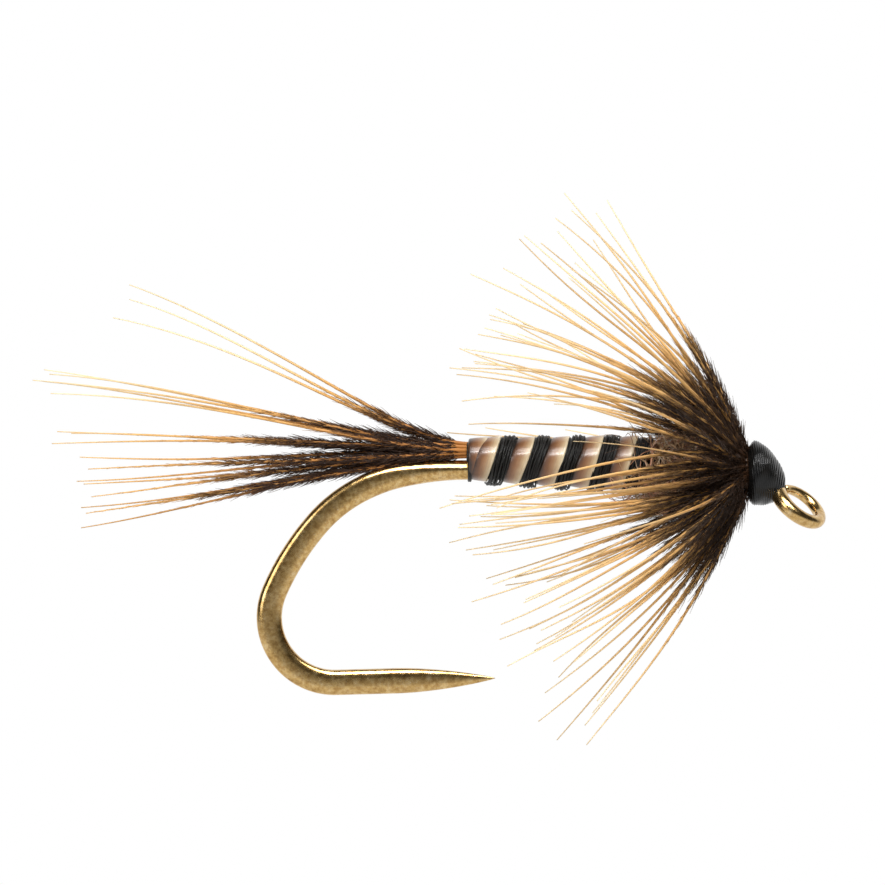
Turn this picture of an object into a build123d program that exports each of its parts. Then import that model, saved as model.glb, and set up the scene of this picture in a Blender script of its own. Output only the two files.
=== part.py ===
"""Dry fly on a forged barbless hook: quill body, fur thorax, wound feather collar, feather tail.

Millimetres, +X from the bend toward the hook eye, +Z up, the hook's bend in the XZ plane.
The origin is the centre of the hook eye's bore. Every piece is bound to the hook.
"""

import os
from math import asin, cos, pi, radians, sin, sqrt

from build123d import *

os.makedirs("parts", exist_ok=True)

# hook wire
shank_dia = 0.54
shank_height = 0.96
forged_height = 0.70
forged_width = 0.47
bend_radii = (10.2, 4.0, 7.2, 1.79)
bend_turns = (10.0, 39.0, 17.5)
bend_total = 181.5
forging_run = 0.3
spear_length = 4.36
needle_length = 2.7
point_dia = 0.03

# hook eye: a turned-down loop of tapered wire, rolled a little to one side
eye_bore_dia = 0.96
eye_wire_root_dia = 0.42
eye_wire_end_dia = 0.27
eye_down_angle = 37.7
eye_roll = 25.0
eye_closure = 345.0
bore_land_depth = 0.012
neck_length = 0.90

# abdomen: a tapered thread underbody wound with a quill and a rib of thread
abdomen_length = 4.67
abdomen_rear_lift = 0.305
abdomen_front_lift = 0.165
underbody_rear_dia = 1.06
underbody_front_dia = 1.41
body_turns = 5
quill_share = 0.52
quill_thickness = 0.055
rib_share = 0.42
rib_thickness = 0.075
glue_film = 0.012
end_margin = 0.04

# every fine fibre: sides of its section, and sections along it
fibre_sides = 6
fibre_rings = 8

# tail: butts packed in a round bundle on top of the shank, one barb in each place
tail_rings = 2
tail_barb_dia = 0.098
tail_tip_dia = 0.03
tail_bundle_wall = 0.03
bundle_play = 0.006
butt_length = 1.3
tie_turns = 5
tie_thread_dia = 0.07
tie_dia = 1.18
# each clump: barbs, angle above the shank line, spread of angle, length, lift of the middle
tail_clumps = (
    (3, 22.5, 8.4, 10.2, 0.10),
    (5, 9.0, 3.0, 11.9, 0.06),
    (3, 2.0, 2.2, 11.2, 0.03),
    (8, -5.6, 10.0, 10.7, -0.02),
)
tail_side_spread = 7.0
tail_length_spread = 0.06
tail_level_share = 0.2
tail_bend_share = 0.62

# thorax: dubbed fur with guard hairs
thorax_length = 2.50
thorax_height = 1.52
thorax_width = 1.44
thorax_drop = 0.03
thorax_lumps = 0.07
guard_hairs = 26
guard_hair_length = 1.15
guard_hair_dia = 0.036

# feather collar
collar_base_dia = 0.90
stem_dia = 0.12
stem_gap = 0.008
stem_turns = 3
barbs_per_turn = 34
barb_root_dia = 0.076
barb_tip_dia = 0.024
barb_length = 8.0
barb_length_spread = 0.14
barb_min_sweep = 13.0
barb_max_sweep = 61.0
barb_root_lift = 14.0
barb_least_start = 42.0
collar_parting = 0.22
gape_parting = 100.0
gape_parting_sweep = 55.0

# head
head_length = 0.91
head_dia = 1.76
head_front_dia = 0.56
head_drop = 0.11
head_over_eye = 0.312
whip_turns = 5
whip_thread_dia = 0.06

# between neighbouring dressings along the shank, and a cutter's run past what it cuts
dressing_gap = 0.02
cut_run = 1.0

# worked out from the sizes above, from the eye back along the shank
golden_turn = pi * (3 - sqrt(5))
head_front_x = head_over_eye - (eye_bore_dia / 2 + eye_wire_root_dia) * cos(radians(eye_down_angle))
head_rear_x = head_front_x - head_length
neck_start_x = head_front_x - neck_length
stem_pitch = stem_dia + stem_gap
stem_front_x = head_rear_x - dressing_gap - stem_dia / 2
collar_base_rear_x = stem_front_x - stem_turns * stem_pitch - stem_dia / 2
thorax_front_x = collar_base_rear_x - dressing_gap
thorax_rear_x = thorax_front_x - thorax_length
abdomen_front_x = thorax_rear_x - dressing_gap
abdomen_rear_x = abdomen_front_x - abdomen_length
bend_start_x = abdomen_rear_x - 0.10
body_pitch = abdomen_length / body_turns
bundle_r = (tail_rings + 0.5) * tail_barb_dia
tail_root_dia = tail_barb_dia - bundle_play / 2
tail_bundle_z = shank_height + shank_dia / 2 + tail_bundle_wall + bundle_r
abdomen_rear_z = shank_height + abdomen_rear_lift
abdomen_front_z = shank_height + abdomen_front_lift
thorax_z = shank_height - thorax_drop
head_z = shank_height - head_drop


def rising_share(i, n):
    """Return the middle of the i-th of n equal shares of the span from -1/2 to 1/2."""
    return (i + 0.5) / n - 0.5


def scatter(i, seed):
    """Return an even, repeatable scatter between -1/2 and 1/2, from multiples of the golden ratio."""
    return ((i + 1) * (sqrt(5) - 1) / 2 + seed * 0.377) % 1 - 0.5


def tapered_fibre(points, root_dia, tip_dia, rings=fibre_rings, butt=0):
    """Return a six-sided tapered fibre on a curve with four control points, with a straight butt if asked."""
    with BuildLine() as line:
        Bezier(*points)
    curve = line.line
    sections = []
    places = [(curve @ 0 - (curve % 0) * butt, curve % 0, 0)] if butt else []
    places += [(curve @ (k / (rings - 1)), curve % (k / (rings - 1)), k / (rings - 1)) for k in range(rings)]
    for centre, direction, share in places:
        with BuildSketch(Plane(origin=centre, x_dir=(0, 1, 0), z_dir=direction)) as section:
            RegularPolygon((root_dia + (tip_dia - root_dia) * share) / 2, fibre_sides)
        sections.append(section.sketch.face())
    with BuildPart() as fibre:
        loft(sections, ruled=True)
    return fibre.part


def shank_rod(start_x, end_x, dia=shank_dia):
    """Return a round rod on the shank's centreline."""
    with BuildPart() as rod:
        with BuildSketch(Plane(origin=(start_x, 0, shank_height), z_dir=(1, 0, 0))):
            Circle(dia / 2)
        extrude(amount=end_x - start_x)
    return rod.part


def wound_band(start_x, turns, thread_dia, base_dia, centre_z):
    """Return side-by-side turns of thread as one ridged drum about a line along X."""
    base_r = base_dia / 2
    end_x = turns * thread_dia
    with BuildPart() as band:
        with BuildSketch(Plane(origin=(start_x, 0, centre_z), x_dir=(1, 0, 0), z_dir=(0, -1, 0))):
            with BuildLine():
                for k in range(turns):
                    ThreePointArc(
                        (k * thread_dia, base_r),
                        ((k + 0.5) * thread_dia, base_r + thread_dia / 2),
                        ((k + 1) * thread_dia, base_r),
                    )
                Polyline((end_x, base_r), (end_x, 0), (0, 0), (0, base_r))
            make_face()
        revolve(axis=Axis((start_x, 0, centre_z), (1, 0, 0)))
    return band.part


def save(piece, label):
    """Label a piece and write its file."""
    piece.label = label
    export_step(piece, f"parts/{label}.step")


# ---------- hook ----------
down = radians(eye_down_angle)
roll = radians(eye_roll)
eye_ahead = Vector(cos(down), 0, -sin(down))
eye_across = Vector(sin(roll) * sin(down), cos(roll), sin(roll) * cos(down))
eye_plane = Plane(origin=(0, 0, 0), x_dir=eye_ahead, z_dir=eye_ahead.cross(eye_across))
eye_root_reach = eye_bore_dia / 2 + eye_wire_root_dia / 2 - bore_land_depth

with BuildLine(Plane.XZ) as bend_line:
    bend_arc = JernArc((bend_start_x, shank_height), (-1, 0), bend_radii[0], bend_turns[0])
    for arc_radius, arc_turn in zip(bend_radii[1:], bend_turns[1:] + (bend_total - sum(bend_turns),)):
        bend_arc = JernArc(bend_arc @ 1, bend_arc % 1, arc_radius, arc_turn)
bend_wire = bend_line.wires()[0]
spear_start = bend_wire @ 1
spear_dir = bend_wire % 1
bend_sections = 19


def oval(centre, direction, height, width):
    """Return one oval section of the hook wire, square to its centreline."""
    with BuildSketch(Plane(origin=centre, x_dir=(0, 1, 0), z_dir=direction)) as section:
        Ellipse(width / 2, height / 2)
    return section.sketch.face()


bend_ovals = []
for k in range(bend_sections):
    share = k / (bend_sections - 1)
    forged = min(1, share / forging_run)
    tall = shank_dia + (forged_height - shank_dia) * forged
    wide = shank_dia + (forged_width - shank_dia) * forged
    bend_ovals.append(oval(bend_wire @ share, bend_wire % share, tall, wide))

straight = spear_length - needle_length
needle_shares = (0, 0.3, 0.6, 0.85, 1)
spear_oval = oval(spear_start, spear_dir, forged_height, forged_width)
needle_ovals = []
for share in needle_shares:
    thin = (1 - share**1.6) ** 0.9
    tall = point_dia + (forged_height - point_dia) * thin
    wide = point_dia + (forged_width - point_dia) * thin
    centre = spear_start + spear_dir * (straight + needle_length * share)
    needle_ovals.append(oval(centre, spear_dir, tall, wide))

with BuildLine() as neck_line:
    Bezier(
        (neck_start_x, 0, shank_height),
        (neck_start_x + neck_length / 2, 0, shank_height),
        tuple(eye_ahead * -(eye_root_reach + eye_wire_root_dia / 2)),
        tuple(eye_ahead * -eye_root_reach),
    )
neck = neck_line.line
neck_ovals = []
neck_rings = 5
for k in range(neck_rings):
    share = k / (neck_rings - 1)
    dia = shank_dia + (eye_wire_root_dia - shank_dia) * share
    neck_ovals.append(oval(neck @ share, neck % share, dia, dia))

eye_rings = 15
ring_circles = []
for k in range(eye_rings):
    share = k / (eye_rings - 1)
    turn = radians(180 + eye_closure * share)
    wire_r = (eye_wire_root_dia + (eye_wire_end_dia - eye_wire_root_dia) * share) / 2
    reach = eye_bore_dia / 2 + wire_r - bore_land_depth
    outward = eye_ahead * cos(turn) + eye_across * sin(turn)
    along = eye_across * cos(turn) - eye_ahead * sin(turn)
    with BuildSketch(Plane(origin=outward * reach, x_dir=outward, z_dir=along)) as ring_circle:
        Circle(wire_r)
    ring_circles.append(ring_circle.sketch.face())

with BuildPart() as hook:
    add(shank_rod(bend_start_x, neck_start_x))
    loft(bend_ovals)
    extrude(spear_oval, amount=straight, dir=tuple(spear_dir))
    loft(needle_ovals)
    loft(neck_ovals)
    loft(ring_circles)
    with BuildSketch(eye_plane):
        Circle(eye_bore_dia / 2)
    extrude(amount=eye_wire_root_dia, both=True, mode=Mode.SUBTRACT)
save(hook.part, "hook")

# ---------- abdomen ----------
axis_drop = abdomen_front_z - abdomen_rear_z
axis_length = sqrt(abdomen_length**2 + axis_drop**2)
axis_dir = Vector(abdomen_length, 0, axis_drop) * (1 / axis_length)
axis_start = Vector(abdomen_rear_x, 0, abdomen_rear_z)
cone_rise = (underbody_front_dia - underbody_rear_dia) / 2 / axis_length

with BuildPart() as underbody:
    with BuildSketch(Plane(origin=axis_start, x_dir=(0, 1, 0), z_dir=axis_dir)):
        Circle(underbody_rear_dia / 2)
    with BuildSketch(Plane(origin=axis_start + axis_dir * axis_length, x_dir=(0, 1, 0), z_dir=axis_dir)):
        Circle(underbody_front_dia / 2)
    loft()
    add(shank_rod(abdomen_rear_x - cut_run, abdomen_front_x + cut_run), mode=Mode.SUBTRACT)
    with BuildSketch(Plane(origin=(abdomen_rear_x - cut_run, 0, tail_bundle_z), z_dir=(1, 0, 0))):
        Circle(bundle_r + bundle_play)
    extrude(amount=cut_run + butt_length, mode=Mode.SUBTRACT)
save(underbody.part, "thread_underbody")


def wound_strand(first_share, width, thickness):
    """Return a flat strand wound about the tapered underbody, its inner face a glue film away from it."""
    start = first_share * body_pitch
    run = axis_length - start - width / 2 - end_margin
    radius = underbody_rear_dia / 2 + cone_rise * start + glue_film + thickness / 2
    with BuildLine() as coil_line:
        Helix(
            pitch=body_pitch,
            height=run,
            radius=radius,
            center=tuple(axis_start + axis_dir * start),
            direction=tuple(axis_dir),
            cone_angle=asin(cone_rise) * 180 / pi,
            lefthand=True,
        )
    coil = coil_line.line
    root = coil @ 0
    outward = (root - (axis_start + axis_dir * start)).normalized()
    slope = (axis_dir + outward * cone_rise).normalized()
    with BuildPart() as strand:
        with BuildSketch(Plane(origin=root, x_dir=slope, z_dir=coil % 0)):
            Rectangle(width, thickness)
        sweep(path=coil, is_frenet=True)
    return strand.part


quill_width = body_pitch * quill_share
rib_width = body_pitch * rib_share
quill_start = quill_share / 2 + 0.03
save(wound_strand(quill_start, quill_width, quill_thickness), "quill_body")
save(wound_strand(quill_start + 0.5, rib_width, rib_thickness), "rib_thread")

# ---------- tail ----------
bundle_places = [(0.0, 0.0)]
for ring in range(1, tail_rings + 1):
    for side in range(6):
        for step in range(ring):
            start_turn, end_turn = radians(60 * side), radians(60 * side + 60)
            share = step / ring
            bundle_places.append(
                (
                    ring * tail_barb_dia * (cos(start_turn) * (1 - share) + cos(end_turn) * share),
                    ring * tail_barb_dia * (sin(start_turn) * (1 - share) + sin(end_turn) * share),
                )
            )
bundle_places.sort(key=lambda place: -place[1])

tail_paths = []
for clump, (count, angle, spread, length, lift) in enumerate(tail_clumps):
    for i in range(count):
        number = len(tail_paths)
        side, height = bundle_places[number]
        up = radians(angle - spread * rising_share(i, count))
        out = radians(2 * tail_side_spread * scatter(number, clump))
        reach = length * (1 + tail_length_spread * scatter(number, 3))
        root = Vector(abdomen_rear_x, side, tail_bundle_z + height)
        ahead = Vector(-cos(up) * cos(out), cos(up) * sin(out), sin(up))
        sag = Vector(0, 0, lift * length)
        tail_paths.append(
            (
                root,
                root + Vector(-tail_level_share * reach, 0, 0),
                root + ahead * (tail_bend_share * reach) + sag / 2,
                root + ahead * reach,
            )
        )

for number, path in enumerate(tail_paths):
    save(tapered_fibre(path, tail_root_dia, tail_tip_dia, butt=butt_length), f"tail_barb_{number + 1:02d}")

with BuildPart() as tie:
    tie_rear_x = abdomen_rear_x - dressing_gap - tie_turns * tie_thread_dia
    add(wound_band(tie_rear_x, tie_turns, tie_thread_dia, tie_dia, abdomen_rear_z))
    add(shank_rod(abdomen_rear_x - cut_run, abdomen_rear_x + cut_run), mode=Mode.SUBTRACT)
    with BuildSketch(Plane(origin=(abdomen_rear_x - cut_run, 0, tail_bundle_z), z_dir=(1, 0, 0))):
        Circle(bundle_r + dressing_gap)
    extrude(amount=2 * cut_run, mode=Mode.SUBTRACT)
save(tie.part, "tail_tie_turns")

# ---------- thorax ----------
thorax_rings = 17


def thorax_swell(share):
    """Return the thorax's height as a share of its largest: shouldered behind, drawn in at the collar."""
    rear_shoulder = 0.80 + 0.20 * sin(pi / 2 * min(1, share / 0.4))
    return rear_shoulder * (1 - 0.36 * max(0, (share - 0.55) / 0.45) ** 1.5)


with BuildPart() as thorax:
    for k in range(thorax_rings):
        share = k / (thorax_rings - 1)
        lump = 1 + thorax_lumps * sin(1.3 * k + 0.6)
        centre = (
            thorax_rear_x + thorax_length * share,
            thorax_lumps / 2 * sin(1.7 * k),
            thorax_z + thorax_lumps / 2 * cos(1.1 * k),
        )
        with BuildSketch(Plane(origin=centre, x_dir=(0, 1, 0), z_dir=(1, 0, 0))):
            swell = thorax_swell(share) * lump
            Ellipse(thorax_width / 2 * swell, thorax_height / 2 * swell)
    loft(ruled=True)
    add(shank_rod(thorax_rear_x - cut_run, thorax_front_x + cut_run), mode=Mode.SUBTRACT)
save(thorax.part, "thorax_dubbing")

hairs = []
for i in range(guard_hairs):
    around = golden_turn * i
    share = 0.06 + 0.86 * (i + 0.5) / guard_hairs
    swell = thorax_swell(share) * 0.93
    radial = Vector(0, sin(around), cos(around))
    root = Vector(
        thorax_rear_x + thorax_length * share,
        radial.Y * thorax_width / 2 * swell,
        thorax_z + radial.Z * thorax_height / 2 * swell,
    )
    long = guard_hair_length * (1 + 0.5 * scatter(i, 1))
    back = Vector(-1, 0, 0) if i % 3 else Vector(0.5, 0, 0)
    hairs.append(
        tapered_fibre(
            (
                root,
                root + (radial + back * 0.3) * (0.28 * long),
                root + (radial * 0.55 + back * 0.6) * (0.7 * long),
                root + (radial * 0.5 + back * 0.85) * long,
            ),
            guard_hair_dia,
            guard_hair_dia / 3,
            rings=4,
        )
    )
with BuildPart() as guard_hair_tuft:
    add(hairs)
save(guard_hair_tuft.part, "thorax_guard_hairs")

# ---------- feather collar ----------
collar_base_front_x = stem_front_x + stem_dia / 2
with BuildPart() as collar_base:
    add(shank_rod(collar_base_rear_x, collar_base_front_x, collar_base_dia))
    add(shank_rod(collar_base_rear_x - cut_run, collar_base_front_x + cut_run), mode=Mode.SUBTRACT)
save(collar_base.part, "collar_thread_base")

stem_coil_r = collar_base_dia / 2 + stem_gap + stem_dia / 2
with BuildLine() as stem_line:
    Helix(
        pitch=stem_pitch,
        height=stem_turns * stem_pitch,
        radius=stem_coil_r,
        center=(stem_front_x, 0, shank_height),
        direction=(-1, 0, 0),
    )
stem_coil = stem_line.line
with BuildPart() as collar_stem:
    with BuildSketch(Plane(origin=stem_coil @ 0, z_dir=stem_coil % 0)):
        Circle(stem_dia / 2)
    sweep(path=stem_coil, is_frenet=True)
save(collar_stem.part, "collar_stem")


def collar_barb_points(number):
    """Return the four control points of one collar barb: it leaves the stem steeply and is swept back."""
    turn, place = divmod(number, barbs_per_turn)
    even = 2 * pi * (place + 0.5 * (turn % 2) + 0.3 * scatter(number, 2)) / barbs_per_turn
    around = even - collar_parting * sin(2 * even)
    sweep_angle = barb_min_sweep + (barb_max_sweep - barb_min_sweep) * (scatter(number * 5 + turn, 4) + 0.5)
    if cos(around) < 0:
        off_down = around - pi
        least = radians(gape_parting) * max(0, 1 - sweep_angle / gape_parting_sweep)
        around = pi + (max(off_down, least) if off_down > 0 else min(off_down, -least))
    long = barb_length * (1 + barb_length_spread * scatter(number, 5))
    radial = Vector(0, sin(around), cos(around))
    root = Vector(stem_front_x - stem_pitch * (turn + even / (2 * pi)), 0, shank_height)
    root = root + radial * (stem_coil_r + stem_dia / 2 - 0.01)

    def reach(share, extra):
        lean = radians(sweep_angle + extra)
        return root + (radial * sin(lean) - Vector(1, 0, 0) * cos(lean)) * (share * long)

    lift = max(barb_root_lift, barb_least_start - sweep_angle)
    return root, reach(0.26, lift), reach(0.64, lift / 3), reach(1, 0)


for turn in range(stem_turns):
    halves = {"upper": [], "lower": []}
    for number in range(turn * barbs_per_turn, (turn + 1) * barbs_per_turn):
        points = collar_barb_points(number)
        half = "upper" if points[3].Z > points[0].Z else "lower"
        halves[half].append(tapered_fibre(points, barb_root_dia, barb_tip_dia))
    for half, barbs in halves.items():
        save(Compound([barb.solid() for barb in barbs]), f"collar_barbs_turn_{turn + 1}_{half}")

# ---------- head ----------
whip_rear_x = head_front_x - whip_turns * whip_thread_dia


def head_radius(x):
    """Return the head's radius at a place along it: a blunt bullet, full at the back, falling to the eye."""
    share = min(1, max(0, (x - head_rear_x) / head_length))
    return head_front_dia / 2 + (head_dia - head_front_dia) / 2 * sqrt(max(0, 1 - share**1.9))


head_plane = Plane(origin=(0, 0, head_z), x_dir=(1, 0, 0), z_dir=(0, -1, 0))
head_axis = Axis((0, 0, head_z), (1, 0, 0))
head_steps = 7
head_places = [head_rear_x + (whip_rear_x - head_rear_x) * k / head_steps for k in range(head_steps + 1)]
head_edge = [(x, head_radius(x)) for x in head_places]
with BuildPart() as head:
    with BuildSketch(head_plane):
        with BuildLine():
            Spline(*head_edge)
            Polyline(head_edge[-1], (whip_rear_x, 0), (head_rear_x, 0), head_edge[0])
        make_face()
    revolve(axis=head_axis)
    add(hook.part, mode=Mode.SUBTRACT)
save(head.part, "head_thread")

ridge_r = whip_thread_dia / 2
whip_edge = [whip_rear_x + (k + 0.5) * whip_thread_dia for k in range(whip_turns)]
with BuildPart() as whip:
    with BuildSketch(head_plane):
        with BuildLine():
            Polyline(
                (whip_rear_x, 0),
                (whip_rear_x, head_radius(whip_rear_x) - ridge_r),
                *[(x, head_radius(x) - ridge_r) for x in whip_edge],
                (head_front_x, head_front_dia / 2 - ridge_r),
                (head_front_x, 0),
                close=True,
            )
        make_face()
        for x in whip_edge:
            with Locations((x, head_radius(x) - ridge_r)):
                Circle(ridge_r)
    revolve(axis=head_axis)
    add(hook.part, mode=Mode.SUBTRACT)
save(whip.part, "head_whip_finish")
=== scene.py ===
import math

import bpy
import numpy as np
from mathutils import Matrix


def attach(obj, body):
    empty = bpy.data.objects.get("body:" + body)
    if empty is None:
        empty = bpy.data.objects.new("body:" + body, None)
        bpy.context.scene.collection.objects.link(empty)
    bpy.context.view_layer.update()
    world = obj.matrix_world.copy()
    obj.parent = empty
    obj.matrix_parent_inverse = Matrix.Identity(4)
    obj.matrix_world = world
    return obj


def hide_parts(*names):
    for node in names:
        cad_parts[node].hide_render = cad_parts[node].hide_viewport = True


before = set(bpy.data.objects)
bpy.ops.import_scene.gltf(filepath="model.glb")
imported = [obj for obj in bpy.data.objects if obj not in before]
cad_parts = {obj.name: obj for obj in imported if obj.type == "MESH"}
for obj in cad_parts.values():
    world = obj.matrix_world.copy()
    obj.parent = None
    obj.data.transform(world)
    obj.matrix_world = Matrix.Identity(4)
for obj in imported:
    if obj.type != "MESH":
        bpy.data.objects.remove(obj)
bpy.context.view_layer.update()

# ---------------------------------------------------------------- hook
# The hook is one length of carbon-steel wire, bent, forged flat on the sides round the bend, ground to
# a long needle point with no barb, and lacquered bronze. Its tapered end is rolled into the down-eye.
MM = 0.001
shank_height = 0.96
shank_dia = 0.54
forged_height, forged_width = 0.70, 0.47
eye_bore = 0.96
eye_wire_root, eye_wire_end = 0.44, 0.25
eye_down, eye_roll = math.radians(37.7), math.radians(25.0)
bend_start = -9.144
bend_arcs = ((10.2, 10.0), (4.0, 39.0), (7.2, 17.5), (1.79, 115.0))
spear_length, needle_length, needle_tip = 4.36, 2.7, 0.012

eye_ahead = np.array([math.cos(eye_down), 0, -math.sin(eye_down)])
eye_across = np.array(
    [math.sin(eye_roll) * math.sin(eye_down), math.cos(eye_roll), math.sin(eye_roll) * math.cos(eye_down)]
)
eye_normal = np.cross(eye_ahead, eye_across)


def curve_through(controls, steps):
    """Points on a cubic curve: all the first control point at the start, all the last at the end, pulled
    most by the second and third at a third and two thirds of the way. controls may be one curve or many,
    (4, 3) or (n, 4, 3)."""
    t = np.linspace(0, 1, steps)[:, None]
    weights = np.hstack([(1 - t) ** 3, 3 * (1 - t) ** 2 * t, 3 * (1 - t) * t**2, t**3])
    return np.einsum("sk,...kd->...sd", weights, np.asarray(controls, float))


def unit(v):
    """Each vector divided by its own length."""
    return v / np.linalg.norm(v, axis=-1, keepdims=True)


def closed_tube(centres, side_a, side_b, ring):
    """A closed tube: each ring's points are its centre plus the outline's two coordinates along side_a and
    side_b. ring is (stations, around, 2). Quads join neighbouring rings, and one polygon closes each end."""
    stations, around = ring.shape[:2]
    points = centres[:, None] + ring[..., :1] * side_a[:, None] + ring[..., 1:] * side_b[:, None]
    i = np.arange(stations - 1)[:, None] * around
    j = np.arange(around)[None]
    k = (j + 1) % around
    quads = np.stack([i + j, i + k, i + around + k, i + around + j], -1).reshape(-1, 4)
    caps = [np.arange(around)[::-1], (stations - 1) * around + np.arange(around)]
    return points.reshape(-1, 3), quads.tolist() + [c.tolist() for c in caps]


def shaped_piece(name, points_mm, faces, material, replaced, slot, **marks):
    """A smooth mesh piece from points in millimetres, riding on the fly, with one number per point for each
    named mark."""
    mesh = bpy.data.meshes.new(name)
    mesh.from_pydata((np.asarray(points_mm) * MM).tolist(), [], faces)
    for mark, values in marks.items():
        layer = mesh.attributes.new(mark, "FLOAT", "POINT")
        layer.data.foreach_set("value", np.asarray(values, np.float32).ravel())
    mesh.polygons.foreach_set("use_smooth", np.full(len(mesh.polygons), True))
    mesh.materials.append(material)
    mesh.update()
    piece = bpy.data.objects.new(name, mesh)
    bpy.context.scene.collection.objects.link(piece)
    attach(piece, "root")
    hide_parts(*replaced)


class Finish:
    """A surface finish under construction: a Principled shader with nodes that read millimetres or marks."""

    def __init__(self, name, **values):
        self.material = bpy.data.materials.new(name)
        self.material.use_nodes = True
        self.tree = self.material.node_tree
        self.shader = self.tree.nodes["Principled BSDF"]
        for socket, value in values.items():
            self.shader.inputs[socket.replace("_", " ")].default_value = value

    def node(self, kind, links=None, sockets=None, **settings):
        """Add a node, set its settings and sockets, and link its inputs."""
        made = self.tree.nodes.new(kind)
        for key, value in settings.items():
            setattr(made, key, value)
        for key, value in (sockets or {}).items():
            made.inputs[key].default_value = value
        for key, output in (links or {}).items():
            self.tree.links.new(output, made.inputs[key])
        return made

    def mark(self, name):
        """The number that each point carries under this name."""
        return self.node("ShaderNodeAttribute", attribute_name=name).outputs["Fac"]

    def place(self, stretch=(1, 1, 1)):
        """The point's own place on the fly, in millimetres, stretched along each axis."""
        where = self.node("ShaderNodeTexCoord").outputs["Object"]
        scale = tuple(1000 * s for s in stretch)
        return self.node("ShaderNodeMapping", {"Vector": where}, {"Scale": scale}).outputs[0]

    def noise(self, vector, scale, detail=3.0, rough=0.55):
        """A soft random pattern."""
        settings = {"Scale": scale, "Detail": detail, "Roughness": rough}
        return self.node("ShaderNodeTexNoise", {"Vector": vector}, settings).outputs["Fac"]

    def math(self, operation, a, b):
        """One sum on two numbers or outputs."""
        made = self.node("ShaderNodeMath", operation=operation)
        for socket, value in zip(made.inputs, (a, b)):
            if isinstance(value, (int, float)):
                socket.default_value = value
            else:
                self.tree.links.new(value, socket)
        return made.outputs[0]

    def ramp(self, factor, *stops):
        """Colours at places from 0 to 1."""
        made = self.node("ShaderNodeValToRGB", {"Fac": factor})
        ramp = made.color_ramp
        while len(ramp.elements) < len(stops):
            ramp.elements.new(0.5)
        for element, (position, colour) in zip(ramp.elements, stops):
            element.position = position
            element.color = (*colour, 1)
        return made.outputs["Color"]

    def blend(self, factor, a, b, kind="MIX"):
        """Two colours mixed by a number."""
        made = self.node("ShaderNodeMix", data_type="RGBA", blend_type=kind)
        for socket, value in ((made.inputs[0], factor), (made.inputs[6], a), (made.inputs[7], b)):
            if isinstance(value, (int, float)):
                socket.default_value = value
            elif isinstance(value, tuple):
                socket.default_value = (*value, 1)
            else:
                self.tree.links.new(value, socket)
        return made.outputs[2]

    def colour(self, output):
        """The surface's own colour."""
        self.tree.links.new(output, self.shader.inputs["Base Color"])

    def rough(self, factor, low, high):
        """Roughness between two values."""
        made = self.node("ShaderNodeMapRange", {"Value": factor}, {"To Min": low, "To Max": high})
        self.tree.links.new(made.outputs[0], self.shader.inputs["Roughness"])

    def bump(self, height, depth_mm, strength=1.0):
        """Raise the surface by a height pattern."""
        made = self.node(
            "ShaderNodeBump", {"Height": height}, {"Strength": strength, "Distance": depth_mm * MM}
        )
        self.tree.links.new(made.outputs[0], self.shader.inputs["Normal"])


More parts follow.
